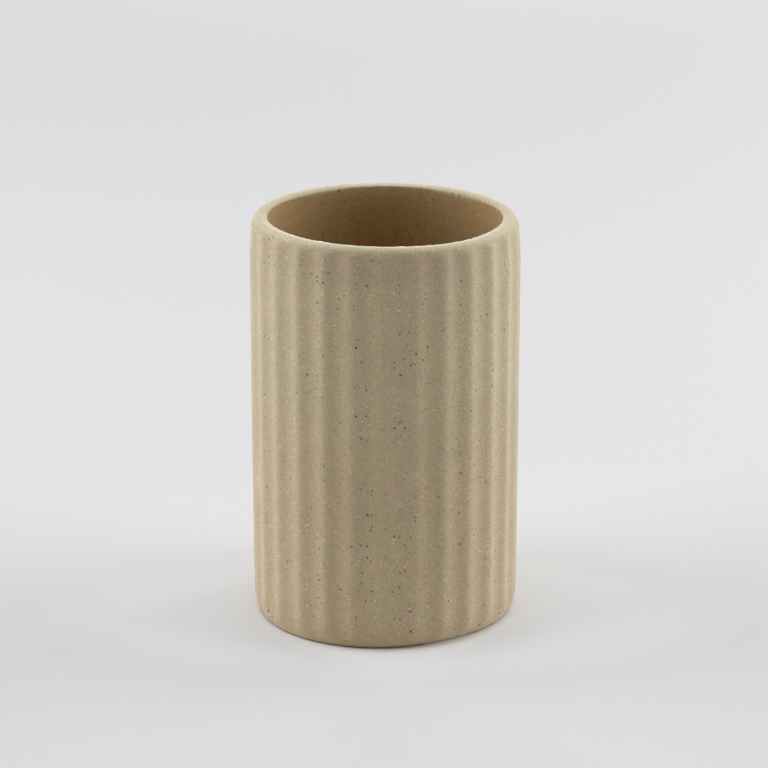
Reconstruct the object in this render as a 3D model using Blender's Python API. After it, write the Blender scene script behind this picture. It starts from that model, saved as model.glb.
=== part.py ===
"""A fluted stoneware bathroom tumbler, cast and fired as one piece of clay.

Lengths are in metres and +Z is up. The origin is the centre of the foot, in the plane that the tumbler stands on.
The wall is a loft of rings. Soft vertical flutes run round the outside, and they fade into a smooth lip above and
into a rounded heel below. The bore, the floor and the underside are plain turned surfaces.
"""

import math

import bmesh
import bpy

# Overall size, over the crests of the flutes
HEIGHT = 0.1088
DIAMETER = 0.0710

# Clay thickness
WALL = 0.0047                   # from the crests to the bore, at the mouth
FLOOR = 0.0060                  # from the inside floor to the recess underneath

# Flutes
FLUTE_COUNT = 28
FLUTE_DEPTH = 0.0006            # from a crest to the bottom of a valley
CREST_SHARPNESS_SHARE = 0.08    # 0 makes crest and valley alike, more makes the crest narrower
BAND_DEPTH_SHARE = 0.55         # how deep in the flutes the smooth lip and heel lie

# Shoulder and lip
SHOULDER_LEAN = 0.00055         # how far the wall leans in up to the top
SHOULDER_HEIGHT = 0.0130        # height over which it leans in
LIP_REACH = 0.0018              # how far in the outer rounding then comes
LIP_DROP = 0.0030               # how far down the outer rounding comes
LIP_SMOOTH = 0.0006             # height of the smooth strip below the top
LIP_BLEND = 0.0022              # height in which the flutes fade into that strip
CROWN_FALL = 0.00065            # the crown falls this far to the edge of the bore

# Heel
HEEL_REACH = 0.0024             # how far in the rounding goes
HEEL_RISE = 0.0044              # how far up the rounding goes
HEEL_SMOOTH = 0.0004            # height of the smooth strip above the foot
HEEL_BLEND = 0.0030             # height in which the flutes grow to their full depth

# Inside
BORE_DRAFT = 0.0007             # how much narrower the bore is at the floor, on the radius
BORE_CORNER = 0.0060            # radius between the wall and the floor

# Underside
FOOT_WIDTH = 0.0055             # flat ring that the tumbler stands on
RECESS_DEPTH = 0.0008
RECESS_ROUND = 0.0016           # width of the soft step into the recess

# Fineness of the facets
FACETS_PER_FLUTE = 6
BORE_FACETS_PER_FLUTE = 3
HEEL_STEPS = 8
SHOULDER_STEPS = 5
LIP_STEPS = 8
CORNER_STEPS = 5
CROWN_STEPS = 2
RECESS_STEPS = 3
SHARP_ANGLE = math.radians(40)

# Finish
CLAY_COLOUR = (0.54, 0.46, 0.33, 1.0)
CLAY_ROUGHNESS = 0.85
CLAY_METALLIC = 0.0

crest_radius = DIAMETER / 2
band_inset = FLUTE_DEPTH * BAND_DEPTH_SHARE
band_radius = crest_radius - band_inset
mouth_radius = crest_radius - WALL
crown_radius = band_radius - SHOULDER_LEAN - LIP_REACH
foot_radius = band_radius - HEEL_REACH
recess_radius = foot_radius - FOOT_WIDTH
floor_height = RECESS_DEPTH + FLOOR


def clear_scene():
    for old in list(bpy.data.objects):
        bpy.data.objects.remove(old, do_unlink=True)


def smooth_step(share):
    """Goes from 0 to 1 with no kink at either end."""
    share = min(max(share, 0.0), 1.0)
    return share * share * (3 - 2 * share)


def flute_cut(angle):
    """Depth below the crests at an angle round the axis: 0 on a crest, FLUTE_DEPTH in a valley."""
    turn = FLUTE_COUNT * angle
    wave = math.cos(turn) + CREST_SHARPNESS_SHARE * math.cos(2 * turn)
    return FLUTE_DEPTH * (1 + CREST_SHARPNESS_SHARE - wave) / 2


def fluting_at(height):
    """How much of the flutes there is at a height: 0 on the smooth bands, 1 over most of the wall."""
    above_heel = smooth_step((height - HEEL_SMOOTH) / HEEL_BLEND)
    below_lip = smooth_step((HEIGHT - LIP_SMOOTH - height) / LIP_BLEND)
    return above_heel * below_lip


def lean_at(height):
    """How far the shoulder leans in at a height: 0 on the straight wall, SHOULDER_LEAN at the top."""
    return SHOULDER_LEAN * smooth_step(1 - (HEIGHT - height) / SHOULDER_HEIGHT)


def add_ring(bm, radius_at, height, count):
    """A closed ring of edges; radius_at gives the radius at each angle."""
    verts = []
    for index in range(count):
        angle = math.tau * index / count
        radius = radius_at(angle)
        verts.append(bm.verts.new((radius * math.cos(angle), radius * math.sin(angle), height)))
    return [bm.edges.new((verts[index - 1], verts[index])) for index in range(count)]


def plain_ring(bm, radius, height, count):
    return add_ring(bm, lambda angle: radius, height, count)


def fluted_ring(bm, rounding, height, count):
    """A ring of the outer skin, drawn in by rounding where the lip or the heel curves."""
    share = fluting_at(height)
    lean = lean_at(height)

    def radius_at(angle):
        cut = share * flute_cut(angle) + (1 - share) * band_inset
        return crest_radius - cut - lean - rounding

    return add_ring(bm, radius_at, height, count)


def heel_rings(bm, count):
    """From the foot up round the heel to the wall, a quarter of an ellipse."""
    rings = []
    for step in range(HEEL_STEPS + 1):
        turn = math.pi / 2 * step / HEEL_STEPS
        rounding = HEEL_REACH * (1 - math.sin(turn))
        rings.append(fluted_ring(bm, rounding, HEEL_RISE * (1 - math.cos(turn)), count))
    return rings


def wall_rings(bm, count):
    """The fluted wall: the end of the heel's blend, then the straight run, then the shoulder up to the lip."""
    heel_top = HEEL_SMOOTH + HEEL_BLEND
    lip_foot = HEIGHT - LIP_DROP
    shoulder_foot = HEIGHT - max(SHOULDER_HEIGHT, LIP_SMOOTH + LIP_BLEND)
    rings = []
    if heel_top > HEEL_RISE:
        rings.append(fluted_ring(bm, 0, heel_top, count))
    for step in range(SHOULDER_STEPS):
        height = shoulder_foot + (lip_foot - shoulder_foot) * step / SHOULDER_STEPS
        rings.append(fluted_ring(bm, 0, height, count))
    return rings


def lip_rings(bm, count):
    """The outer rounding of the lip, a quarter of an ellipse up to the crown."""
    rings = []
    for step in range(LIP_STEPS + 1):
        turn = math.pi / 2 * step / LIP_STEPS
        rounding = LIP_REACH * (1 - math.cos(turn))
        rings.append(fluted_ring(bm, rounding, HEIGHT - LIP_DROP * (1 - math.sin(turn)), count))
    return rings


def crown_rings(bm, count):
    """From the crown the lip falls to the edge of the bore, faster and faster, and ends in a crisp edge."""
    rings = []
    for step in range(1, CROWN_STEPS + 1):
        share = step / CROWN_STEPS
        radius = crown_radius + (mouth_radius - crown_radius) * share
        rings.append(plain_ring(bm, radius, HEIGHT - CROWN_FALL * share**2, count))
    return rings


def bore_rings(bm, count):
    """The inside wall leans in by its draft, then turns through the corner into the floor."""
    corner_radius = mouth_radius - BORE_DRAFT - BORE_CORNER
    rings = []
    for step in range(CORNER_STEPS + 1):
        turn = math.pi / 2 * step / CORNER_STEPS
        radius = corner_radius + BORE_CORNER * math.cos(turn)
        height = floor_height + BORE_CORNER * (1 - math.sin(turn))
        rings.append(plain_ring(bm, radius, height, count))
    return rings


def underside_rings(bm, count):
    """From the middle of the recess out over its soft step to the flat foot ring."""
    rings = []
    for step in range(RECESS_STEPS, -1, -1):
        share = step / RECESS_STEPS
        radius = recess_radius - RECESS_ROUND * share
        rings.append(plain_ring(bm, radius, RECESS_DEPTH * smooth_step(share), count))
    return rings


def loft(bm, rings):
    """Skins each ring to the one after it."""
    for ring, following in zip(rings, rings[1:]):
        bmesh.ops.bridge_loops(bm, edges=ring + following)


def cap(bm, ring):
    """Closes a ring with one flat face."""
    bmesh.ops.contextual_create(bm, geom=ring)


def clay_material():
    material = bpy.data.materials.new("speckled_stoneware")
    material.use_nodes = True
    shader = material.node_tree.nodes["Principled BSDF"]
    shader.inputs["Base Color"].default_value = CLAY_COLOUR
    shader.inputs["Roughness"].default_value = CLAY_ROUGHNESS
    shader.inputs["Metallic"].default_value = CLAY_METALLIC
    material.diffuse_color = CLAY_COLOUR
    return material


def tumbler_body():
    """The rings run from the middle of the underside, up the outside, over the lip and down to the inside floor."""
    skin_count = FLUTE_COUNT * FACETS_PER_FLUTE
    bore_count = FLUTE_COUNT * BORE_FACETS_PER_FLUTE
    bm = bmesh.new()
    underside = underside_rings(bm, bore_count)
    outside = heel_rings(bm, skin_count) + wall_rings(bm, skin_count) + lip_rings(bm, skin_count)
    inside = crown_rings(bm, bore_count) + bore_rings(bm, bore_count)
    loft(bm, underside + outside + inside)
    cap(bm, underside[0])
    cap(bm, inside[-1])
    bmesh.ops.recalc_face_normals(bm, faces=bm.faces)

    mesh = bpy.data.meshes.new("tumbler_body")
    bm.to_mesh(mesh)
    bm.free()
    mesh.materials.append(clay_material())
    mesh.shade_smooth()
    mesh.set_sharp_from_angle(angle=SHARP_ANGLE)
    body = bpy.data.objects.new("tumbler_body", mesh)
    bpy.context.scene.collection.objects.link(body)
    return body


clear_scene()
tumbler_body()
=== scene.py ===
import math
from collections import namedtuple

import bpy
import numpy as np
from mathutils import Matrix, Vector


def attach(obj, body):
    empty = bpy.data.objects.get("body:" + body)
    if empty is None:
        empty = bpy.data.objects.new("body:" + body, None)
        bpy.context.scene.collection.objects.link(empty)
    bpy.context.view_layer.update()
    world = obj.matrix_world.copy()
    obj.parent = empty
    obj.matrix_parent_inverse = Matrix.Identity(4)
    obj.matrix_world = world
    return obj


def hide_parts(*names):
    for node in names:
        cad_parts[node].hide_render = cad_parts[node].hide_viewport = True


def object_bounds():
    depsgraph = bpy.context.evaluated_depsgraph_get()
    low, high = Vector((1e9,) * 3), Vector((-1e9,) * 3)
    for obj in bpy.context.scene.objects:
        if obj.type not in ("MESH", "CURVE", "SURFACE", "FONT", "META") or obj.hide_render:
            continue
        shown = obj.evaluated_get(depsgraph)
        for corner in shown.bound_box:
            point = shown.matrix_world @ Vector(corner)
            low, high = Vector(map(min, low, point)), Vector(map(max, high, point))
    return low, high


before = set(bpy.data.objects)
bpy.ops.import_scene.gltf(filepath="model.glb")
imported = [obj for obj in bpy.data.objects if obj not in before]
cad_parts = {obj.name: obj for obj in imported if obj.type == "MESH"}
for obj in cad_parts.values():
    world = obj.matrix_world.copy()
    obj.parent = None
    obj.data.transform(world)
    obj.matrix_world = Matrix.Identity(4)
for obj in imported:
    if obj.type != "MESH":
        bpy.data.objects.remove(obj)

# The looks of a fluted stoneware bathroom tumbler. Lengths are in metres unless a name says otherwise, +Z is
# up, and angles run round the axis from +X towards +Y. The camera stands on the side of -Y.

cad_low, cad_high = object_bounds()
SEED = 41

# Overall size, from the frame
HEIGHT = cad_high.z - cad_low.z
CREST_RADIUS = (cad_high.x - cad_low.x) / 2

# Clay thickness
WALL = 0.0047
FLOOR = 0.0060

# Flutes
FLUTE_COUNT = 28
FLUTE_DEPTH = 0.0006
CREST_SHARPNESS_SHARE = 0.08    # 0 makes crest and valley alike, more makes the crest narrower
BAND_DEPTH_SHARE = 0.55         # how deep in the flutes the smooth lip and heel lie
DEPTH_WANDER_SHARE = 0.12       # a flute is shallower by up to this share
SIDE_WANDER = 0.12              # and strays this much sideways, in radians of one flute's wave
BLEND_WANDER_SHARE = 0.18       # and fades out over a height that differs by this share

# Lip
SHOULDER_LEAN = 0.00055         # the wall leans in this much up to the top
SHOULDER_HEIGHT = 0.0130        # over this height
LIP_REACH = 0.0018              # how far in the outer rounding then comes
LIP_DROP = 0.0030               # how far down it comes
LIP_SMOOTH = 0.0006             # height of the smooth strip below the top
LIP_BLEND = 0.0022              # height in which the flutes then grow to their full depth
CROWN_FALL = 0.00059            # the crown falls this far to the inner edge
FRONT_CROWN_SHARE = 0.50        # at the front it falls by only this share of that
BACK_CROWN_SHARE = 0.68         # and in the middle of the back by this share
EDGE_CRISPNESS = 0.00015        # the inner edge is rounded off over this length on either side
EDGE_STRAY = 0.00009            # it wanders in and out this much
EDGE_DIP = 0.00006              # and up and down this much
EDGE_FADE = 0.0012              # its waves die out over this length
RIM_TILT = 0.00044              # the rim stands this much lower at its low side
LOW_SIDE = math.radians(-50)
RIM_DIP = 0.00028               # and dips this much more on a short stretch of it
DIP_MIDDLE = math.radians(-50)
DIP_HALF_ANGLE = math.radians(25)
DIP_HEIGHT = 0.0200             # the dip dies out this far down

# Stretches where the inner edge is softer than elsewhere, and strays more by a share
SoftStretch = namedtuple("SoftStretch", "middle half_angle softness ragged_share")
SOFT_STRETCHES = (
    SoftStretch(math.radians(43), math.radians(23), 0.00105, 0.6),
    SoftStretch(math.radians(130), math.radians(26), 0.00072, 0.3),
)

# Burrs left standing on the inner edge, and one nick with a height below 0
Burr = namedtuple("Burr", "angle half_width height")
BURRS = (
    Burr(math.radians(-121), 0.0007, 0.00017),
    Burr(math.radians(-91), 0.0005, -0.00010),
    Burr(math.radians(-82), 0.0009, 0.00014),
    Burr(math.radians(-74.4), 0.0005, 0.00014),
)

# Heel
HEEL_REACH = 0.0014             # how far in the rounding goes
HEEL_RISE = 0.0037              # how far up it goes
HEEL_BEND = 1.75                # 1 would be a straight bevel and 2 a parabola; both meet the foot in an edge
HEEL_SMOOTH = 0.0004            # height of the smooth strip above the foot
HEEL_BLEND = 0.0050             # height in which the flutes then grow to their full depth
HEEL_TURN_SHARE = 0.06          # the heel is larger on the right by this share, and smaller on the left
WORN_RISE = 0.60                # where wear makes the heel reach further in, it rises by this share of that

# Stretches where the heel is worn, so that it reaches further in, or less worn, so that it reaches less far
WornStretch = namedtuple("WornStretch", "middle half_angle reach")
WORN_STRETCHES = (
    WornStretch(math.radians(-60), math.radians(31), 0.00155),
    WornStretch(math.radians(-137), math.radians(28), -0.00045),
)

# Foot
FOOT_WARP = 0.00012             # the foot, warped in firing, is this far off the floor at its raised side
WARP_SIDE = math.radians(-40)
WARP_FADE = 0.0100              # the wall is level again this far up

# Inside
BORE_DRAFT = 0.0007             # how much narrower the bore is at the floor, on the radius
BORE_CORNER = 0.0060            # radius between the wall and the floor

# Underside
FOOT_WIDTH = 0.0055             # flat ring that the tumbler stands on
RECESS_DEPTH = 0.0008
RECESS_ROUND = 0.0016           # width of the soft step into the recess

# Hand-finished unevenness, which on the outside only ever takes clay away
BELLY = 0.00015                 # the wall is this much narrower at BELLY_REACH below its widest height
BELLY_HEIGHT = 0.065
BELLY_REACH = 0.050
SKIN_WOBBLE = 0.00006
BORE_WOBBLE = 0.00015
BORE_CALM = 0.0080              # the bore evens out over this height towards its edge
SKIN_WAVES = 14
LONGEST_WAVE = 0.060
SHORTEST_WAVE = 0.022

# Fewest and most waves in one turn
FLUTE_DEPTH_WAVES = (3, 13)
FLUTE_SIDE_WAVES = (2, 11)
BLEND_WAVES = (4, 17)
EDGE_IN_OUT_WAVES = (30, 120)
EDGE_UP_DOWN_WAVES = (24, 110)
EDGE_WEAR_AND_HIGHLIGHT_WAVES = (5, 60)
WEAKEST_WAVE = 0.4              # each wave has a size between this and 1
WAVES_REACH = 2.2               # a sum of waves seldom goes beyond this many times its usual size

# Where round the rim something starts and where it is full, by how far forward a place lies: 1 is the front,
# 0 the left and the right, and -1 the back
FRONT_CROWN_SPAN = (0.0, 0.625)
BACK_CROWN_SPAN = (-0.87, -0.95)
INNER_LIGHT_SPAN = (-0.6071, -0.9643)
SHOULDER_SHADE_SPAN = (1 / 3, 1.0)
EDGE_WEAR_AND_HIGHLIGHT_SPAN = (-1.0, 1.0)

# Fineness of the mesh
FACETS_PER_FLUTE = 16
ROW_HEIGHT = 0.0013
HEEL_ROWS = 14
LIP_ROWS = 14
CROWN_ROWS = 6
EDGE_ROWS = 6
EDGE_FADE_ROWS = 4
BORE_ROW_HEIGHT = 0.00195
BORE_ROWS_START = 0.0024        # the evenly spaced rows of the bore start this far below its softest edge
CORNER_ROWS = 10
STEP_ROWS = 6
FOOT_ROW_SHARES = (0.12, 0.40, 0.68)    # where across the foot ring its rows lie
DISC_ROW = 0.0022
THINNING_SHARE = 0.7            # a disc has half the points within this share of the mouth, and so on inwards
FEWEST_IN_ROW = 14

# Shares of the texture map's height, from the underside to the inside floor
MAP_SHARES = {"underside": 0.09, "outside": 0.49, "edge": 0.02, "inside": 0.32, "floor": 0.08}
MAP_MARGIN_SHARE = 0.02

# Wear, chalky marks, painted highlights and painted shade
EDGE_WEAR_AND_HIGHLIGHT_REACH = 0.00036       # the inner edge is rubbed bare and given a painted highlight this far at the back
FRONT_HIGHLIGHT_WIDENING = 0.00110   # and this much further at the front
BACK_EDGE_WEAR_AND_HIGHLIGHT_SHARE = 0.15     # its rubbing and painted highlight are weaker at the back
EDGE_STRENGTH_POWER = 3         # more gathers the strong wear and painted highlight nearer to the front
EDGE_WIDTH_POWER = 2            # more gathers the wide wear and painted highlight nearer to the front
EDGE_BORDER_POWER = 4           # more gives the rubbed, highlighted line a sharper border
EDGE_WEAR_AND_HIGHLIGHT_WANDER_SHARE = 0.1    # in places it is less rubbed and highlighted, by up to twice this share
INNER_PAINTED_LIGHT = 0.75           # painted light makes the inside paler by this share right under the edge, at the back
INNER_LIGHT_REACH = 0.0015       # and evens out over about this depth
LIP_HIGHLIGHT = 1.0                  # a painted highlight makes the lip paler
SIDE_LIP_HIGHLIGHT_SHARE = 0.5       # but only by this share of that at the left and the right
SIDE_LIP_POWER = 8              # more makes those two stretches shorter
LIP_HIGHLIGHT_HEIGHT = 0.0014        # down to this depth
LIP_HIGHLIGHT_START = 0.0004         # and fully from this far outside the bore
SHOULDER_SHADE_START = 0.0007         # the painted shade on the shoulder starts this far below the top
SHOULDER_SHADE_FULL = 0.0028          # and has its full strength from this far down
SHOULDER_SHADE_FADE_SHARE = 0.5       # it fades out over this share of the shoulder's height
FOOT_WEAR = 0.6                 # the flat foot is rubbed paler
FOOT_RUBBED_SHARE = 0.75        # over this share of its width, from the inside
CONTACT_SHADE_HEIGHT = 0.00050      # clay this near the floor is darkened by painted contact shade
Scuff = namedtuple("Scuff", "angle height half_width half_length strength")
SCUFFS = (
    Scuff(math.radians(197), 0.0376, 0.0014, 0.0036, 1.0),
    Scuff(math.radians(196), 0.0440, 0.0012, 0.0022, 0.6),
    Scuff(math.radians(281), 0.0470, 0.0010, 0.0022, 0.5),
    Scuff(math.radians(276), 0.0412, 0.0009, 0.0018, 0.45),
)

# Clay and what is in it, as linear colours
WARM_CLAY = (0.682, 0.495, 0.345)
GREEN_CLAY = (0.553, 0.518, 0.275)
IRON = (0.085, 0.045, 0.020)
RUST = (0.22, 0.105, 0.048)
GROG = (0.97, 0.90, 0.76)
CHALK = (0.88, 0.86, 0.82)
# clay of the inside, darker and browner than the outside's; part of that darkness is painted shade inside the
# bore
INNER_CLAY_AND_SHADE = (0.457, 0.289, 0.099)
# pale clay for the painted highlight on the lip and for the rubbed foot
WORN_AND_HIGHLIT_CLAY = (0.90, 0.83, 0.60)
# pale bare clay of the rubbed inner edge, with its painted highlight
BARE_AND_HIGHLIT_EDGE = (0.97, 0.94, 0.82)
# painted shade where the foot meets the floor
CONTACT_SHADE = (0.060, 0.028, 0.020)
# painted shade on the shoulder below the lip
SHOULDER_SHADE = (0.94, 0.91, 0.925)

# The clay grows darker and browner from the first height down to the second. Right at the heel it grows
# darker and browner once more, as painted shade near the floor.
LOW_WALL_TONE = (0.975, 0.945, 0.930)
LOW_WALL_HEIGHTS = (0.080, 0.040)
HEEL_SHADE = (0.91, 0.86, 0.81)
HEEL_SHADE_HEIGHTS = (0.0090, 0.0005)

# Cloudy noises. The first make the clay lighter and darker, and the tints mix its two colours.
Mottle = namedtuple("Mottle", "size detail strength")
MOTTLES = (Mottle(0.016, 2.0, 0.12), Mottle(0.0032, 2.0, 0.16), Mottle(0.0011, 2.0, 0.24))
GRAIN = Mottle(0.00055, 2.0, 0.46)
TINTS = (Mottle(0.0030, 2.0, 0.8), Mottle(0.0006, 1.0, 1.9))
TINT_OFFSET = (0.3, 0.1, 0.2)
MIDDLE_TINT = 0.5
RAGGED = Mottle(0.0005, 1.0, 0.00022)   # frays the outlines of the grains; its strength is a length
POWDER = Mottle(0.0006, 2.0, 1.0)
PAPER_TOOTH = Mottle(0.004, 2.0, 0.02)
NOISE_ROUGHNESS = 0.55
NOISE_MIDDLE = 0.5

# How strongly a paint takes: low where a noise is at its start, and high at its end
Ease = namedtuple("Ease", "start end low high")
RUBBED_AND_HIGHLIT_GRAIN = Ease(0.30, 0.62, 0.50, 0.85)
CHALKED_POWDER = Ease(0.46, 0.66, 0.08, 0.9)

# Grains in the clay: one grain lies in each cell of the given size, if it is within the share that has one
Specks = namedtuple("Specks", "cell smallest largest share strength offset")
IRON_SPECKS = Specks(0.00140, 0.00016, 0.00048, 0.45, 1.0, (0.0, 0.0, 0.0))
PEPPER = Specks(0.00080, 0.00013, 0.00025, 0.64, 0.6, (0.13, 0.07, 0.02))
GROG_SPECKS = Specks(0.00150, 0.00016, 0.00038, 0.65, 0.85, (0.05, 0.11, 0.03))
SALT = Specks(0.00085, 0.00012, 0.00022, 0.50, 0.6, (0.02, 0.17, 0.09))
SPECK_SIZE_POWER = 2.0          # more makes large grains rarer
SPECK_CORE_SHARE = 0.45         # a grain is solid out to this share of its radius
FAINTEST_SPECK_SHARE = 0.4      # the faintest grains have this share of the strength
RUSTY_DICE = (0.10, 0.02)       # iron grains with a random number below these are partly and wholly rust
INNER_CALM = 0.35               # grains are this much fainter inside

# Surface of the clay
CLAY_ROUGHNESS = 0.66
ROUGHNESS_SPREAD = 0.16         # the grain spreads it over about this range
IRON_GLOSS = 0.25               # iron grains are this much less rough
EDGE_POLISH = 0.34              # and the rubbed, highlighted inner edge is this much less rough
DIFFUSE_ROUGHNESS = 0.6
CLAY_SPECULAR = 0.65
CLAY_SHEEN = 0.22
SHEEN_ROUGHNESS = 0.5
RELIEF_DEPTH = 0.00003          # depth of the grain's bumps
IRON_PIT = 0.9                  # iron grains lie this share of it deeper
PEPPER_PIT = 0.4                # and pepper this share
GROG_RISE = 0.4                 # and grog stands this share higher

# Stage
CAMERA_DISTANCE = 0.852
CAMERA_PITCH = math.radians(17.68)
CAMERA_TURN = math.radians(0.5)
CAMERA_SIDESTEP = -0.00029      # to the left
AIM_HEIGHT = 0.0620
LENS_MILLIMETRES = 150.6
SENSOR_MILLIMETRES = 36.0
CLIP_NEAR = 0.05
CLIP_FAR = 20.0
FLOOR_RADIUS = 1.05
FLOOR_FACETS = 96
PAPER = (0.738, 0.739, 0.751)
PAPER_ROUGHNESS = 0.9
PAPER_SPECULAR = 0.2
BACKGROUND = (0.70, 0.705, 0.72)
WORLD_LEVEL = 0.035

# Patches of painted light on the paper round the tumbler, which lighten its shadow there, each full out to
# one radius and gone at another. With a side share below 1 a patch is that much longer from left to right.
LightPatch = namedtuple("LightPatch", "middle_y side_share full_radius end_radius colour")
LIGHT_PATCHES = (
    LightPatch(-0.010, 0.50, 0.029, 0.051, (0.815, 0.835, 0.868)),
    LightPatch(-0.008, 1.0, 0.026, 0.037, (0.97, 0.97, 0.97)),
)

# A lamp's level is the share of its written colour that a surface facing that lamp shows by its light alone.
# Its azimuth runs from the camera's side, 0, to the right, 90 degrees.
Lamp = namedtuple("Lamp", "name azimuth elevation distance width height level")
LAMPS = (
    Lamp("softbox_left", -94, 19, 1.0, 1.3, 0.74, 1.035),
    Lamp("softbox_right", 101, 19, 1.0, 1.3, 0.74, 1.085),
    Lamp("softbox_back", 180, 14, 1.1, 0.9, 0.45, 0.165),
    Lamp("overhead_back", 180, 82, 1.0, 0.9, 0.9, 0.30),
    Lamp("overhead_front", 0, 83, 1.0, 0.9, 0.9, 0.22),
)

# Sockets of a Mix node that mixes colours
FIRST_COLOUR = 6
SECOND_COLOUR = 7
MIXED_COLOUR = 2

band_inset = FLUTE_DEPTH * BAND_DEPTH_SHARE
mouth_radius = CREST_RADIUS - WALL
crown_radius = CREST_RADIUS - band_inset - SHOULDER_LEAN - LIP_REACH
foot_radius = CREST_RADIUS - band_inset - BELLY * (BELLY_HEIGHT / BELLY_REACH) ** 2 - HEEL_REACH
recess_radius = foot_radius - FOOT_WIDTH
rubbed_radius = recess_radius + FOOT_RUBBED_SHARE * FOOT_WIDTH
floor_height = RECESS_DEPTH + FLOOR
corner_radius = mouth_radius - BORE_DRAFT - BORE_CORNER
lowest_edge = HEIGHT - CROWN_FALL
skin_count = FLUTE_COUNT * FACETS_PER_FLUTE
bore_count = skin_count // 2

chance = np.random.default_rng(SEED)

Row = namedtuple("Row", "part radius height")


def smooth_step(share):
    """Goes from 0 to 1 with no kink at either end."""
    share = np.clip(share, 0.0, 1.0)
    return share * share * (3 - 2 * share)


def even_out(waves, squares):
    """Scales a sum of waves so that it seldom leaves -1 to 1, and clips what does."""
    return np.clip(waves / (WAVES_REACH * math.sqrt(squares / 2)), -1, 1)


def round_noise(fewest, most):
    """Noise between -1 and 1 that closes on itself round the axis, with fewest to most waves in a turn."""
    counts = np.arange(fewest, most + 1)
    phases = chance.uniform(0, math.tau, len(counts))
    sizes = chance.uniform(WEAKEST_WAVE, 1.0, len(counts))

    def at(angle):
        waves = sizes * np.cos(np.outer(angle, counts) + phases)
        return even_out(waves.sum(axis=1), (sizes**2).sum())

    return at


def skin_noise(radius):
    """A slow unevenness of a turned wall, between 0 and 1, that closes on itself round the axis."""
    lengths = chance.uniform(SHORTEST_WAVE, LONGEST_WAVE, SKIN_WAVES)
    headings = chance.uniform(0, math.tau, SKIN_WAVES)
    phases = chance.uniform(0, math.tau, SKIN_WAVES)
    turns = np.round(math.tau * radius / lengths * np.cos(headings))
    climbs = math.tau / lengths * np.sin(headings)

    def at(angle, height):
        waves = np.cos(np.outer(angle, turns) + np.outer(height, climbs) + phases)
        return (1 + even_out(waves.sum(axis=1), SKIN_WAVES)) / 2

    return at


flute_depth_noise = round_noise(*FLUTE_DEPTH_WAVES)
flute_side_noise = round_noise(*FLUTE_SIDE_WAVES)
lip_blend_noise = round_noise(*BLEND_WAVES)
heel_blend_noise = round_noise(*BLEND_WAVES)
edge_in_out = round_noise(*EDGE_IN_OUT_WAVES)
edge_up_down = round_noise(*EDGE_UP_DOWN_WAVES)
edge_wear_and_highlight_noise = round_noise(*EDGE_WEAR_AND_HIGHLIGHT_WAVES)
outer_wobble = skin_noise(CREST_RADIUS)
inner_wobble = skin_noise(mouth_radius)


def angles(count):
    return math.tau * np.arange(count) / count


def turn_from(angle, middle):
    """How far round from middle each angle is, from minus to plus half a turn."""
    return (angle - middle + math.pi) % math.tau - math.pi


def forward_ramp(angle, span):
    """0 up to the start of a span and 1 from its end, by how far forward each angle lies."""
    start, end = span
    return smooth_step((-np.sin(angle) - start) / (end - start))


def swell(angle, middle, half_angle):
    """1 in the middle of a stretch of the round, and next to nothing beyond twice its half angle."""
    return np.exp(-(turn_from(angle, middle) / half_angle) ** 2)


def flute_cut(angle):
    """Depth below the crests: 0 on a crest, about FLUTE_DEPTH in a valley."""
    turn = FLUTE_COUNT * angle + SIDE_WANDER * flute_side_noise(angle)
    wave = np.cos(turn) + CREST_SHARPNESS_SHARE * np.cos(2 * turn)
    depth = FLUTE_DEPTH * (1 - DEPTH_WANDER_SHARE * (1 + flute_depth_noise(angle)) / 2)
    return depth * (1 + CREST_SHARPNESS_SHARE - wave) / 2


def fluting_at(angle, height):
    """How much of the flutes there is: 0 on the smooth bands, 1 over most of the wall."""
    heel_blend = HEEL_BLEND * (1 + BLEND_WANDER_SHARE * heel_blend_noise(angle))
    lip_blend = LIP_BLEND * (1 + BLEND_WANDER_SHARE * lip_blend_noise(angle))
    above_heel = smooth_step((height - HEEL_SMOOTH) / heel_blend)
    below_lip = smooth_step((HEIGHT - LIP_SMOOTH - height) / lip_blend)
    return above_heel * below_lip


def warp_at(angle):
    """How far the foot stands off the floor at each angle: it is level, but for its raised side."""
    return FOOT_WARP * smooth_step(np.cos(angle - WARP_SIDE))


def settle(height, angle):
    """Lowers the rim a little towards its low side, and lifts the heel with the foot's warp."""
    tilt = RIM_TILT * (1 + np.cos(angle - LOW_SIDE)) / 2 * smooth_step(height / HEIGHT)
    dip = RIM_DIP * swell(angle, DIP_MIDDLE, DIP_HALF_ANGLE)
    dip = dip * smooth_step(1 - (HEIGHT - height) / DIP_HEIGHT)
    return height - tilt - dip + warp_at(angle) * smooth_step(1 - height / WARP_FADE)


def draw_in(height):
    """How much narrower the wall is than at its widest, by the belly below that or the shoulder's lean."""
    belly = BELLY * ((height - BELLY_HEIGHT) / BELLY_REACH) ** 2
    lean = SHOULDER_LEAN * smooth_step(1 - (HEIGHT - height) / SHOULDER_HEIGHT)
    return np.where(height > BELLY_HEIGHT, 0, belly) + lean


def skin_row(rounding, height):
    """A row of the outer skin, drawn in by rounding where the lip or the heel curves."""
    angle = angles(skin_count)
    height = height + np.zeros(skin_count)
    share = fluting_at(angle, height)
    cut = share * flute_cut(angle) + (1 - share) * band_inset + draw_in(height)
    wobble = SKIN_WOBBLE * outer_wobble(angle, height) * smooth_step(height / HEEL_RISE)
    return Row("outside", CREST_RADIUS - cut - rounding - wobble, settle(height, angle))


def plain_row(part, radius, height, count):
    return Row(part, np.full(count, radius), np.full(count, height))


def foot_row(radius, height, share):
    """A row of the underside that follows the given share of the foot's warp."""
    return Row("underside", np.full(bore_count, radius), height + share * warp_at(angles(bore_count)))


def disc_count(radius):
    """How many points a row of a disc has; it halves each time that the disc comes in far enough."""
    count = bore_count
    while count > FEWEST_IN_ROW and radius < THINNING_SHARE * mouth_radius * count / bore_count:
        count //= 2
    return count


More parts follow.
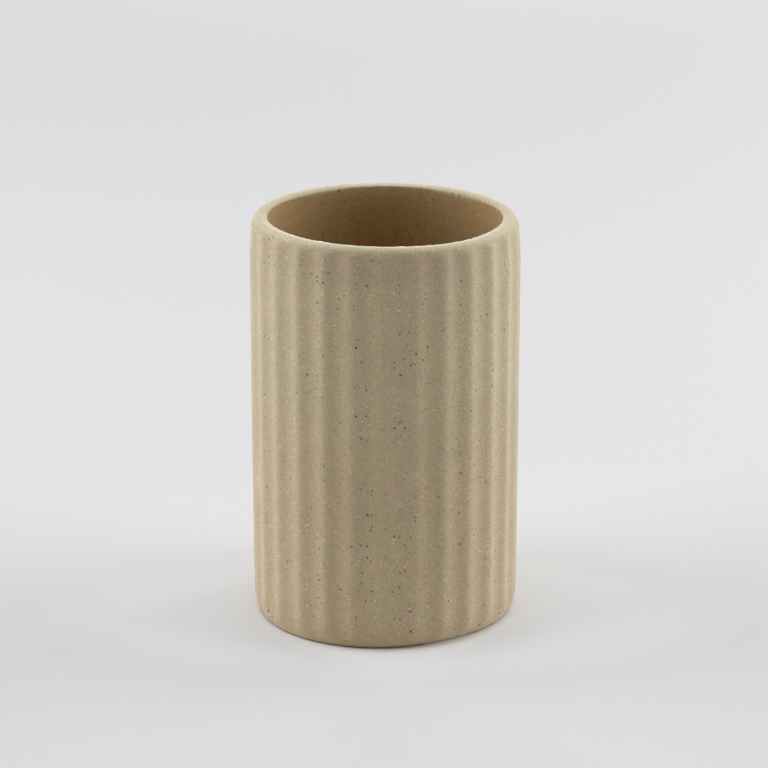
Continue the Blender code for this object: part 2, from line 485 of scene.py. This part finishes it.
def underside_rows():
    """From the middle of the recess out over its soft step to the flat foot ring."""
    step_foot = recess_radius - RECESS_ROUND
    rows = []
    for radius in np.linspace(DISC_ROW, step_foot, int(step_foot / DISC_ROW)):
        rows.append(plain_row("underside", radius, RECESS_DEPTH, disc_count(radius)))
    for step in range(1, STEP_ROWS + 1):
        share = smooth_step(step / STEP_ROWS)
        radius = step_foot + RECESS_ROUND * step / STEP_ROWS
        rows.append(foot_row(radius, RECESS_DEPTH * (1 - share), share))
    for share in FOOT_ROW_SHARES:
        rows.append(foot_row(recess_radius + FOOT_WIDTH * share, 0.0, 1.0))
    return rows


def heel_rows():
    """From the edge of the foot up round the heel to the wall."""
    angle = angles(skin_count)
    size = 1 + HEEL_TURN_SHARE * np.cos(angle)
    worn = sum(stretch.reach * swell(angle, stretch.middle, stretch.half_angle) for stretch in WORN_STRETCHES)
    reach = HEEL_REACH * size + worn
    rise = HEEL_RISE * size + WORN_RISE * worn
    rows = []
    for step in range(HEEL_ROWS + 1):
        upwards = math.sin(math.pi / 2 * step / HEEL_ROWS)
        inwards = (1 - upwards) ** HEEL_BEND
        rows.append(skin_row(reach * inwards, rise * upwards))
    return rows


def wall_rows():
    """The even wall, from clear of the highest heel up to the lip."""
    low = HEEL_RISE * (1 + HEEL_TURN_SHARE) + WORN_RISE * max(stretch.reach for stretch in WORN_STRETCHES)
    high = HEIGHT - LIP_DROP
    count = int((high - low) / ROW_HEIGHT)
    return [skin_row(0, height) for height in np.linspace(low, high, count + 2)[1:-1]]


def lip_rows():
    """The outer rounding of the lip, a quarter of an ellipse up to the crown."""
    rows = []
    for step in range(LIP_ROWS + 1):
        turn = math.pi / 2 * step / LIP_ROWS
        rows.append(skin_row(LIP_REACH * (1 - math.cos(turn)), HEIGHT - LIP_DROP * (1 - math.sin(turn))))
    return rows


def edge_softness(angle):
    """The length over which the inner edge is rounded off."""
    softness = np.full(len(angle), EDGE_CRISPNESS)
    for stretch in SOFT_STRETCHES:
        softness += (stretch.softness - EDGE_CRISPNESS) * swell(angle, stretch.middle, stretch.half_angle)
    return softness


def edge_stray(angle):
    """How far the inner edge strays at each angle: outwards, and downwards."""
    size = 1 + sum(stretch.ragged_share * swell(angle, stretch.middle, stretch.half_angle)
                   for stretch in SOFT_STRETCHES)
    out = EDGE_STRAY * size * edge_in_out(angle)
    down = EDGE_DIP * size * (1 + edge_up_down(angle))
    for burr in BURRS:
        down -= burr.height * np.exp(-(turn_from(angle, burr.angle) * mouth_radius / burr.half_width) ** 2)
    return out, down


def crown_fall(angle):
    """How far the crown falls to the inner edge: least at the front, and less than usual at the very back."""
    front = forward_ramp(angle, FRONT_CROWN_SPAN)
    back = forward_ramp(angle, BACK_CROWN_SPAN)
    return CROWN_FALL * (1 - (1 - FRONT_CROWN_SHARE) * front - (1 - BACK_CROWN_SHARE) * back)


def crown_rows(start):
    """From its first row the crown falls towards the bore, faster and faster, to a slightly uneven edge."""
    angle = angles(skin_count)
    out, down = edge_stray(angle)
    width = crown_radius - mouth_radius
    rows = []
    for step in range(1, CROWN_ROWS + 1):
        share = (1 - edge_softness(angle) / width) * step / CROWN_ROWS
        fade = smooth_step(1 - width * (1 - share) / EDGE_FADE)
        radius = start.radius + (mouth_radius - start.radius) * share + out * fade
        height = HEIGHT - crown_fall(angle) * share**2 - down * fade
        rows.append(Row("outside", radius, settle(height, angle)))
    return rows


def edge_rows(start):
    """Rounds the inner edge off by a curve from the crown's last row to the bore, bent to their corner."""
    angle = angles(skin_count)
    out, down = edge_stray(angle)
    corner = settle(HEIGHT - crown_fall(angle) - down, angle)
    rows = []
    for step in range(1, EDGE_ROWS + 1):
        share = step / EDGE_ROWS
        radius = (1 - share) ** 2 * start.radius + (1 - (1 - share) ** 2) * (mouth_radius + out)
        height = (1 - share) ** 2 * start.height + 2 * share * (1 - share) * corner
        height = height + share**2 * (corner - edge_softness(angle))
        rows.append(Row("edge", radius, height))
    return rows


def bore_radius(angle, height):
    """The inside wall leans in by its draft. It is a little uneven, but less near its edge and the floor."""
    share = (lowest_edge - height) / (lowest_edge - floor_height)
    calm = smooth_step((lowest_edge - height) / BORE_CALM)
    calm = calm * smooth_step((height - floor_height) / BORE_CORNER)
    return mouth_radius - BORE_DRAFT * share + BORE_WOBBLE * calm * (inner_wobble(angle, height) - 0.5)


def bore_rows():
    """Fine rows under the edge, where its waves die out, and coarser ones down to the corner."""
    angle = angles(skin_count)
    out, down = edge_stray(angle)
    top = HEIGHT - crown_fall(angle) - edge_softness(angle)
    rows = []
    for step in range(1, EDGE_FADE_ROWS + 1):
        share = step / EDGE_FADE_ROWS
        fade = smooth_step(1 - share)
        height = top - EDGE_FADE * share - down * fade
        rows.append(Row("inside", bore_radius(angle, height) + out * fade, settle(height, angle)))
    angle = angles(bore_count)
    high = lowest_edge - max(stretch.softness for stretch in SOFT_STRETCHES) - BORE_ROWS_START
    low = floor_height + BORE_CORNER
    for level in np.linspace(high, low, int((high - low) / BORE_ROW_HEIGHT)):
        height = np.full(bore_count, level)
        rows.append(Row("inside", bore_radius(angle, height), settle(height, angle)))
    return rows


def corner_rows():
    """The round corner between the inside wall and the floor."""
    rows = []
    for step in range(1, CORNER_ROWS + 1):
        turn = math.pi / 2 * step / CORNER_ROWS
        height = floor_height + BORE_CORNER * (1 - math.sin(turn))
        rows.append(plain_row("inside", corner_radius + BORE_CORNER * math.cos(turn), height, bore_count))
    return rows


def floor_rows():
    radii = np.linspace(corner_radius, DISC_ROW, int(corner_radius / DISC_ROW))[1:]
    return [plain_row("floor", radius, floor_height, disc_count(radius)) for radius in radii]


def all_rows():
    """From the middle of the underside, up the outside, over the lip and down to the inside floor."""
    lip = lip_rows()
    crown = crown_rows(lip[-1])
    outside = heel_rows() + wall_rows() + lip + crown
    return underside_rows() + outside + edge_rows(crown[-1]) + bore_rows() + corner_rows() + floor_rows()


def map_places(rows):
    """How far up the texture map each row lies, by its length along the profile, scaled part by part."""
    profile = [(row.radius.mean(), row.height.mean()) for row in rows]
    steps = [0.0] + [math.dist(*pair) for pair in zip(profile, profile[1:])]
    lengths = {part: sum(step for step, row in zip(steps, rows) if row.part == part) for part in MAP_SHARES}
    places = []
    place = MAP_MARGIN_SHARE
    for step, row in zip(steps, rows):
        place += (1 - 2 * MAP_MARGIN_SHARE) * step * MAP_SHARES[row.part] / lengths[row.part]
        places.append(place)
    return places


Corner = namedtuple("Corner", "row index turn")


def stitch(lower, upper, lower_count, upper_count):
    """Faces between two rows, each a list of corners. Where one row has twice the points, three triangles
    meet each side of the other."""
    def at(row, count, index):
        return Corner(row, index % count, index / count)

    faces = []
    for k in range(min(lower_count, upper_count)):
        if lower_count == upper_count:
            faces.append((at(lower, lower_count, k), at(lower, lower_count, k + 1),
                          at(upper, upper_count, k + 1), at(upper, upper_count, k)))
        elif lower_count > upper_count:
            near, middle, far = (at(lower, lower_count, 2 * k + step) for step in range(3))
            start, end = at(upper, upper_count, k), at(upper, upper_count, k + 1)
            faces += [(near, middle, start), (middle, end, start), (middle, far, end)]
        else:
            near, middle, far = (at(upper, upper_count, 2 * k + step) for step in range(3))
            start, end = at(lower, lower_count, k), at(lower, lower_count, k + 1)
            faces += [(start, middle, near), (start, end, middle), (end, far, middle)]
    return faces


def body_faces(rows):
    """All faces, as lists of point numbers, and a place in the texture map for each of their corners."""
    places = map_places(rows)
    counts = [len(row.radius) for row in rows]
    starts = [1 + sum(counts[:k]) for k in range(len(rows))]
    last_point = 1 + sum(counts)
    faces = []
    spots = []

    def keep(points, face_spots):
        faces.append(points)
        spots.extend(face_spots)

    def fan(row, centre, centre_place, turned_over):
        for k in range(counts[row]):
            rim = [starts[row] + k, starts[row] + (k + 1) % counts[row]]
            rim_spots = [(k / counts[row], places[row]), ((k + 1) / counts[row], places[row])]
            centre_spot = ((k + 0.5) / counts[row], centre_place)
            if turned_over:
                keep([centre] + rim[::-1], [centre_spot] + rim_spots[::-1])
            else:
                keep(rim + [centre], rim_spots + [centre_spot])

    fan(0, 0, 0.0, True)
    for k in range(len(rows) - 1):
        for face in stitch(k, k + 1, counts[k], counts[k + 1]):
            keep([starts[c.row] + c.index for c in face], [(c.turn, places[c.row]) for c in face])
    fan(len(rows) - 1, last_point, 1.0, False)
    return faces, spots


def body_points(rows):
    points = [(0.0, 0.0, RECESS_DEPTH)]
    for row in rows:
        angle = angles(len(row.radius))
        points += zip(row.radius * np.cos(angle), row.radius * np.sin(angle), row.height)
    points.append((0.0, 0.0, floor_height))
    return np.array(points)


def around_axis(points):
    """The radius and the angle of each point."""
    return np.hypot(points[:, 0], points[:, 1]), np.arctan2(points[:, 1], points[:, 0])


def wear_and_lip_highlight_at(points):
    """How pale the clay is: by a painted highlight on the lip, and by rubbing under the foot."""
    radius, angle = around_axis(points)
    below_top = settle(HEIGHT, angle) - points[:, 2]
    lip = LIP_HIGHLIGHT * (1 - (1 - SIDE_LIP_HIGHLIGHT_SHARE) * np.cos(angle) ** SIDE_LIP_POWER)
    lip = lip * smooth_step(1 - below_top / LIP_HIGHLIGHT_HEIGHT)
    lip = lip * smooth_step((radius - mouth_radius) / LIP_HIGHLIGHT_START)
    low = points[:, 2] - warp_at(angle) < RECESS_DEPTH / 2
    foot = FOOT_WEAR * (low & (radius > recess_radius - RECESS_ROUND) & (radius < rubbed_radius))
    return np.maximum(lip, foot)


def edge_wear_and_highlight_at(points):
    """How pale the inner edge is, by rubbing to bare clay and by a painted highlight: in a broad line at the
    front, hardly at the back.
    """
    radius, angle = around_axis(points)
    below_top = settle(HEIGHT, angle) - points[:, 2]
    from_edge = np.hypot(radius - mouth_radius, below_top - crown_fall(angle))
    front = forward_ramp(angle, EDGE_WEAR_AND_HIGHLIGHT_SPAN)
    strength = BACK_EDGE_WEAR_AND_HIGHLIGHT_SHARE + (1 - BACK_EDGE_WEAR_AND_HIGHLIGHT_SHARE) * front**EDGE_STRENGTH_POWER
    strength = strength * (1 - EDGE_WEAR_AND_HIGHLIGHT_WANDER_SHARE * (1 - edge_wear_and_highlight_noise(angle)))
    reach = EDGE_WEAR_AND_HIGHLIGHT_REACH + FRONT_HIGHLIGHT_WIDENING * front**EDGE_WIDTH_POWER
    return strength * np.exp(-(from_edge / reach) ** EDGE_BORDER_POWER)


def shoulder_shade_at(points):
    """How strongly painted shade darkens the clay on the shoulder, in a band under the lip, mostly at the
    front.
    """
    radius, angle = around_axis(points)
    below_top = settle(HEIGHT, angle) - points[:, 2]
    band = smooth_step((below_top - SHOULDER_SHADE_START) / (SHOULDER_SHADE_FULL - SHOULDER_SHADE_START))
    band = band * smooth_step((1 - below_top / SHOULDER_HEIGHT) / SHOULDER_SHADE_FADE_SHARE)
    return band * forward_ramp(angle, SHOULDER_SHADE_SPAN) * (radius > crown_radius)


def contact_shade_at(points):
    """How strongly painted contact shade darkens the clay round the edge that the tumbler stands on."""
    radius, angle = around_axis(points)
    above = points[:, 2] - warp_at(angle)
    return np.exp(-(above / CONTACT_SHADE_HEIGHT) ** 2) * (radius > rubbed_radius)


def scuffs_at(points):
    """Chalky rub marks on the outside, each strongest at its middle."""
    radius, angle = around_axis(points)
    total = np.zeros(len(points))
    for scuff in SCUFFS:
        across = turn_from(angle, scuff.angle) * CREST_RADIUS / scuff.half_width
        along = (points[:, 2] - scuff.height) / scuff.half_length
        total += scuff.strength * np.exp(-across**2 - along**2)
    return np.where(radius > crown_radius, total, 0)


def inside_at(rows):
    """1 on the bore and the inside floor and 0 outside, rising over the rounded inner edge. At the back it is
    still lower just below the edge, as painted light there."""
    shares = [0.0]
    edge_step = 0
    for row in rows:
        share = np.zeros(len(row.radius))
        painted_light = INNER_PAINTED_LIGHT * forward_ramp(angles(len(row.radius)), INNER_LIGHT_SPAN)
        if row.part in ("inside", "floor"):
            share += 1 - painted_light * np.exp(-(lowest_edge - row.height) / INNER_LIGHT_REACH)
        if row.part == "edge":
            edge_step += 1
            share += (1 - painted_light) * (edge_step / EDGE_ROWS) ** 2
        shares += list(share)
    return np.clip(shares + [1.0], 0, 1)


def store(mesh, name, values):
    mesh.attributes.new(name, "FLOAT", "POINT").data.foreach_set("value", values.astype(np.float32))


def tumbler_body():
    rows = all_rows()
    points = body_points(rows)
    faces, spots = body_faces(rows)
    mesh = bpy.data.meshes.new("tumbler_skin")
    mesh.from_pydata(points.tolist(), [], faces)
    uv_map = mesh.uv_layers.new(name="OFBake")
    uv_map.data.foreach_set("uv", np.array(spots, np.float32).ravel())
    store(mesh, "wear_and_lip_highlight", wear_and_lip_highlight_at(points))
    store(mesh, "edge_wear_and_highlight", edge_wear_and_highlight_at(points))
    store(mesh, "shoulder_shade", shoulder_shade_at(points))
    store(mesh, "scuff", scuffs_at(points))
    store(mesh, "contact_shade", contact_shade_at(points))
    store(mesh, "inside", inside_at(rows))
    mesh.shade_smooth()
    mesh.validate()
    mesh.materials.append(stoneware())
    body = bpy.data.objects.new("tumbler_skin", mesh)
    bpy.context.scene.collection.objects.link(body)
    return body


def opaque(colour):
    return (*colour, 1.0)


class Paint:
    """Adds shader nodes to one material. An input is a number, a colour or another node's output."""

    def __init__(self, name):
        self.material = bpy.data.materials.new(name)
        self.material.use_nodes = True
        self.tree = self.material.node_tree
        self.shader = self.tree.nodes["Principled BSDF"]

    def feed(self, socket, value):
        if isinstance(value, bpy.types.NodeSocket):
            self.tree.links.new(value, socket)
        else:
            socket.default_value = value

    def add(self, kind, inputs, **settings):
        node = self.tree.nodes.new(kind)
        for setting, value in settings.items():
            setattr(node, setting, value)
        for socket, value in inputs.items():
            self.feed(node.inputs[socket], value)
        return node

    def sum(self, operation, *values):
        node = self.add("ShaderNodeMath", dict(enumerate(values)), operation=operation)
        return node.outputs["Value"]

    def ease(self, value, start, end, low=0.0, high=1.0):
        """Goes smoothly from low, where the value is start, to high, where it is end."""
        inputs = {"Value": value, "From Min": start, "From Max": end, "To Min": low, "To Max": high}
        return self.add("ShaderNodeMapRange", inputs, interpolation_type="SMOOTHSTEP").outputs["Result"]

    def blend(self, share, first, second, mode="MIX"):
        """A colour between two colours, or with mode MULTIPLY between the first and their product."""
        inputs = {"Factor": share, FIRST_COLOUR: first, SECOND_COLOUR: second}
        return self.add("ShaderNodeMix", inputs, data_type="RGBA", blend_type=mode).outputs[MIXED_COLOUR]

    def noise(self, position, mottle, output="Fac"):
        """Cloudy noise whose largest blots are about the mottle's size across."""
        inputs = {"Vector": position, "Scale": 1 / mottle.size, "Detail": mottle.detail,
                  "Roughness": NOISE_ROUGHNESS}
        return self.add("ShaderNodeTexNoise", inputs).outputs[output]

    def mottled(self, position, mottles, middle):
        """A number that strays from its middle value by several noises of different sizes."""
        total = middle - sum(mottle.strength for mottle in mottles) * NOISE_MIDDLE
        for mottle in mottles:
            total = self.sum("MULTIPLY_ADD", self.noise(position, mottle), mottle.strength, total)
        return total

    def attribute(self, name):
        return self.add("ShaderNodeAttribute", {}, attribute_name=name).outputs["Fac"]

    def object_position(self):
        return self.add("ShaderNodeTexCoord", {}).outputs["Object"]

    def height_of(self, position):
        return self.add("ShaderNodeSeparateXYZ", {0: position}).outputs["Z"]

    def shift(self, vector, offset):
        return self.add("ShaderNodeVectorMath", {0: vector, 1: offset}, operation="ADD").outputs["Vector"]

    def stretch(self, vector, factors):
        inputs = {0: vector, 1: factors}
        return self.add("ShaderNodeVectorMath", inputs, operation="MULTIPLY").outputs["Vector"]

    def length_of(self, vector):
        return self.add("ShaderNodeVectorMath", {0: vector}, operation="LENGTH").outputs["Value"]

    def scale(self, vector, factor):
        inputs = {0: vector, "Scale": factor}
        return self.add("ShaderNodeVectorMath", inputs, operation="SCALE").outputs["Vector"]


def speck_mask(paint, position, specks, share):
    """How strongly a point lies in a grain, times the given share, and that grain's own random number."""
    moved = paint.shift(position, specks.offset)
    cells = paint.add("ShaderNodeTexVoronoi", {"Vector": moved, "Scale": 1 / specks.cell})
    dice = paint.add("ShaderNodeSeparateColor", {0: cells.outputs["Color"]})
    bigness = paint.sum("POWER", dice.outputs[0], SPECK_SIZE_POWER)
    radius = paint.sum("MULTIPLY_ADD", bigness, specks.largest - specks.smallest, specks.smallest)
    distance = paint.sum("MULTIPLY", cells.outputs["Distance"], specks.cell)
    inside = paint.ease(distance, radius, paint.sum("MULTIPLY", radius, SPECK_CORE_SHARE))
    there = paint.sum("LESS_THAN", dice.outputs[1], specks.share)
    faintest = FAINTEST_SPECK_SHARE * specks.strength
    strength = paint.sum("MULTIPLY_ADD", dice.outputs[2], specks.strength - faintest, faintest)
    strength = paint.sum("MULTIPLY", strength, share)
    return paint.sum("MULTIPLY", paint.sum("MULTIPLY", inside, there), strength), dice.outputs[2]


def stoneware():
    """Matte unglazed stoneware: mottled clay with iron and grog grains, rubbed edges and chalky scuffs, with
    painted highlights on the lip and the inner edge and painted shade on the shoulder, at the heel, round the
    foot and inside.
    """
    paint = Paint("speckled_stoneware")
    position = paint.object_position()
    swirl = paint.shift(paint.noise(position, RAGGED, "Color"), [-NOISE_MIDDLE] * 3)
    ragged = paint.shift(position, paint.scale(swirl, RAGGED.strength))
    grain = paint.noise(position, GRAIN)
    inside = paint.attribute("inside")
    edge_wear_and_highlight = paint.attribute("edge_wear_and_highlight")

    tint = paint.mottled(paint.shift(position, TINT_OFFSET), TINTS, MIDDLE_TINT)
    clay = paint.blend(tint, opaque(GREEN_CLAY), opaque(WARM_CLAY))
    height = paint.height_of(position)
    clay = paint.blend(paint.ease(height, *LOW_WALL_HEIGHTS), clay, opaque(LOW_WALL_TONE), "MULTIPLY")
    # painted shade right at the heel
    clay = paint.blend(paint.ease(height, *HEEL_SHADE_HEIGHTS), clay, opaque(HEEL_SHADE), "MULTIPLY")
    # painted shade on the shoulder
    clay = paint.blend(paint.attribute("shoulder_shade"), clay, opaque(SHOULDER_SHADE), "MULTIPLY")
    # inside the bore, darker clay that is partly painted shade; right under the back of the edge the paler
    # outside clay stays on as painted light
    clay = paint.blend(inside, clay, opaque(INNER_CLAY_AND_SHADE))
    brightness = paint.mottled(position, MOTTLES, 1 - GRAIN.strength * NOISE_MIDDLE)
    brightness = paint.sum("MULTIPLY_ADD", grain, GRAIN.strength, brightness)
    clay = paint.scale(clay, brightness)

    evenness = paint.sum("MULTIPLY_ADD", inside, -INNER_CALM, 1.0)
    pepper, _ = speck_mask(paint, ragged, PEPPER, evenness)
    salt, _ = speck_mask(paint, ragged, SALT, evenness)
    iron, iron_dice = speck_mask(paint, ragged, IRON_SPECKS, evenness)
    grog, _ = speck_mask(paint, ragged, GROG_SPECKS, evenness)
    iron_colour = paint.blend(paint.ease(iron_dice, *RUSTY_DICE), opaque(IRON), opaque(RUST))
    colour = paint.blend(salt, clay, opaque(GROG))
    colour = paint.blend(pepper, colour, opaque(RUST))
    colour = paint.blend(grog, colour, opaque(GROG))
    colour = paint.blend(iron, colour, iron_colour)

    # the lip's painted highlight and the foot's wear, broken up by the grain
    rubbed_and_highlit = paint.sum("MULTIPLY", paint.attribute("wear_and_lip_highlight"), paint.ease(grain, *RUBBED_AND_HIGHLIT_GRAIN))
    colour = paint.blend(rubbed_and_highlit, colour, opaque(WORN_AND_HIGHLIT_CLAY))
    # the rubbed inner edge and its painted highlight line
    colour = paint.blend(edge_wear_and_highlight, colour, opaque(BARE_AND_HIGHLIT_EDGE))
    # painted contact shade round the foot
    colour = paint.blend(paint.attribute("contact_shade"), colour, opaque(CONTACT_SHADE))
    powder = paint.noise(position, POWDER)
    chalk = paint.sum("MULTIPLY", paint.attribute("scuff"), paint.ease(powder, *CHALKED_POWDER))
    colour = paint.blend(chalk, colour, opaque(CHALK))
    paint.feed(paint.shader.inputs["Base Color"], colour)

    roughness = paint.sum("MULTIPLY_ADD", grain, ROUGHNESS_SPREAD, CLAY_ROUGHNESS - ROUGHNESS_SPREAD / 2)
    roughness = paint.sum("MULTIPLY_ADD", iron, -IRON_GLOSS, roughness)
    roughness = paint.sum("MULTIPLY_ADD", edge_wear_and_highlight, -EDGE_POLISH, roughness)
    paint.feed(paint.shader.inputs["Roughness"], roughness)

    relief = paint.sum("MULTIPLY_ADD", iron, -IRON_PIT, grain)
    relief = paint.sum("MULTIPLY_ADD", grog, GROG_RISE, relief)
    relief = paint.sum("MULTIPLY_ADD", pepper, -PEPPER_PIT, relief)
    bump = paint.add("ShaderNodeBump", {"Strength": 1.0, "Distance": RELIEF_DEPTH, "Height": relief})
    paint.feed(paint.shader.inputs["Normal"], bump.outputs["Normal"])

    paint.shader.inputs["Diffuse Roughness"].default_value = DIFFUSE_ROUGHNESS
    paint.shader.inputs["Specular IOR Level"].default_value = CLAY_SPECULAR
    paint.shader.inputs["Sheen Weight"].default_value = CLAY_SHEEN
    paint.shader.inputs["Sheen Roughness"].default_value = SHEEN_ROUGHNESS
    return paint.material


def paper():
    """Pale paper with painted light round the tumbler, and a trace of tooth."""
    paint = Paint("pale_paper")
    position = paint.object_position()
    colour = opaque(PAPER)
    for light_patch in LIGHT_PATCHES:
        place = paint.stretch(paint.shift(position, (0, -light_patch.middle_y, 0)), (light_patch.side_share, 1, 1))
        share = paint.ease(paint.length_of(place), light_patch.end_radius, light_patch.full_radius)
        colour = paint.blend(share, colour, opaque(light_patch.colour))
    tooth = paint.mottled(position, [PAPER_TOOTH], 1.0)
    paint.feed(paint.shader.inputs["Base Color"], paint.scale(colour, tooth))
    paint.shader.inputs["Roughness"].default_value = PAPER_ROUGHNESS
    paint.shader.inputs["Specular IOR Level"].default_value = PAPER_SPECULAR
    return paint.material


def studio_floor():
    """A round sheet of paper that the tumbler stands on. It fills the view, and ends where the light does."""
    mesh = bpy.data.meshes.new("studio_floor")
    angle = angles(FLOOR_FACETS)
    rim = FLOOR_RADIUS * np.stack([np.cos(angle), np.sin(angle), np.zeros(FLOOR_FACETS)], axis=1)
    mesh.from_pydata(rim.tolist(), [], [list(range(FLOOR_FACETS))])
    mesh.materials.append(paper())
    floor = bpy.data.objects.new("studio_floor", mesh)
    bpy.context.scene.collection.objects.link(floor)
    return floor


def look_at(obj, place, target):
    obj.location = place
    obj.rotation_euler = (Vector(target) - Vector(place)).to_track_quat("-Z", "Y").to_euler()


def around(azimuth, elevation, distance):
    """A place by its bearing: azimuth 0 is on the camera's side, and 90 degrees to the right of it."""
    level = distance * math.cos(elevation)
    return Vector((level * math.sin(azimuth), -level * math.cos(azimuth), distance * math.sin(elevation)))


def add_lamp(lamp):
    """An area lamp. By its light alone, a plane facing it at the tumbler shows lamp.level of its colour."""
    data = bpy.data.lights.new(lamp.name, "AREA")
    data.shape = "RECTANGLE"
    data.size = lamp.width
    data.size_y = lamp.height
    data.energy = lamp.level * (math.pi * lamp.distance) ** 2
    light = bpy.data.objects.new(lamp.name, data)
    bpy.context.scene.collection.objects.link(light)
    middle = Vector((0, 0, HEIGHT / 2))
    place = middle + around(math.radians(lamp.azimuth), math.radians(lamp.elevation), lamp.distance)
    look_at(light, place, middle)
    light.visible_camera = False
    return light


def add_world():
    """A dim even world. The camera sees it as a plain pale background."""
    world = bpy.data.worlds.new("studio_world")
    world.use_nodes = True
    tree = world.node_tree
    background = tree.nodes["Background"]
    rays = tree.nodes.new("ShaderNodeLightPath")
    seen = tree.nodes.new("ShaderNodeMath")
    seen.operation = "MAXIMUM"
    tree.links.new(rays.outputs["Is Camera Ray"], seen.inputs[0])
    tree.links.new(rays.outputs["Is Transmission Ray"], seen.inputs[1])
    colour = tree.nodes.new("ShaderNodeMix")
    colour.data_type = "RGBA"
    tree.links.new(seen.outputs["Value"], colour.inputs["Factor"])
    colour.inputs[FIRST_COLOUR].default_value = opaque([WORLD_LEVEL] * 3)
    colour.inputs[SECOND_COLOUR].default_value = opaque(BACKGROUND)
    tree.links.new(colour.outputs[MIXED_COLOUR], background.inputs["Color"])
    bpy.context.scene.world = world


def add_camera():
    data = bpy.data.cameras.new("camera")
    data.lens = LENS_MILLIMETRES
    data.sensor_width = SENSOR_MILLIMETRES
    data.clip_start = CLIP_NEAR
    data.clip_end = CLIP_FAR
    camera = bpy.data.objects.new("camera", data)
    bpy.context.scene.collection.objects.link(camera)
    sidestep = Vector((math.cos(CAMERA_TURN), math.sin(CAMERA_TURN), 0)) * CAMERA_SIDESTEP
    aim = Vector((0, 0, AIM_HEIGHT)) + sidestep
    look_at(camera, aim + around(CAMERA_TURN, CAMERA_PITCH, CAMERA_DISTANCE), aim)
    bpy.context.scene.camera = camera


skin = tumbler_body()
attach(skin, "root")
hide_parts("tumbler_body")

studio_floor()
for lamp in LAMPS:
    add_lamp(lamp)
add_world()
add_camera()
bpy.context.scene.view_settings.view_transform = "Standard"
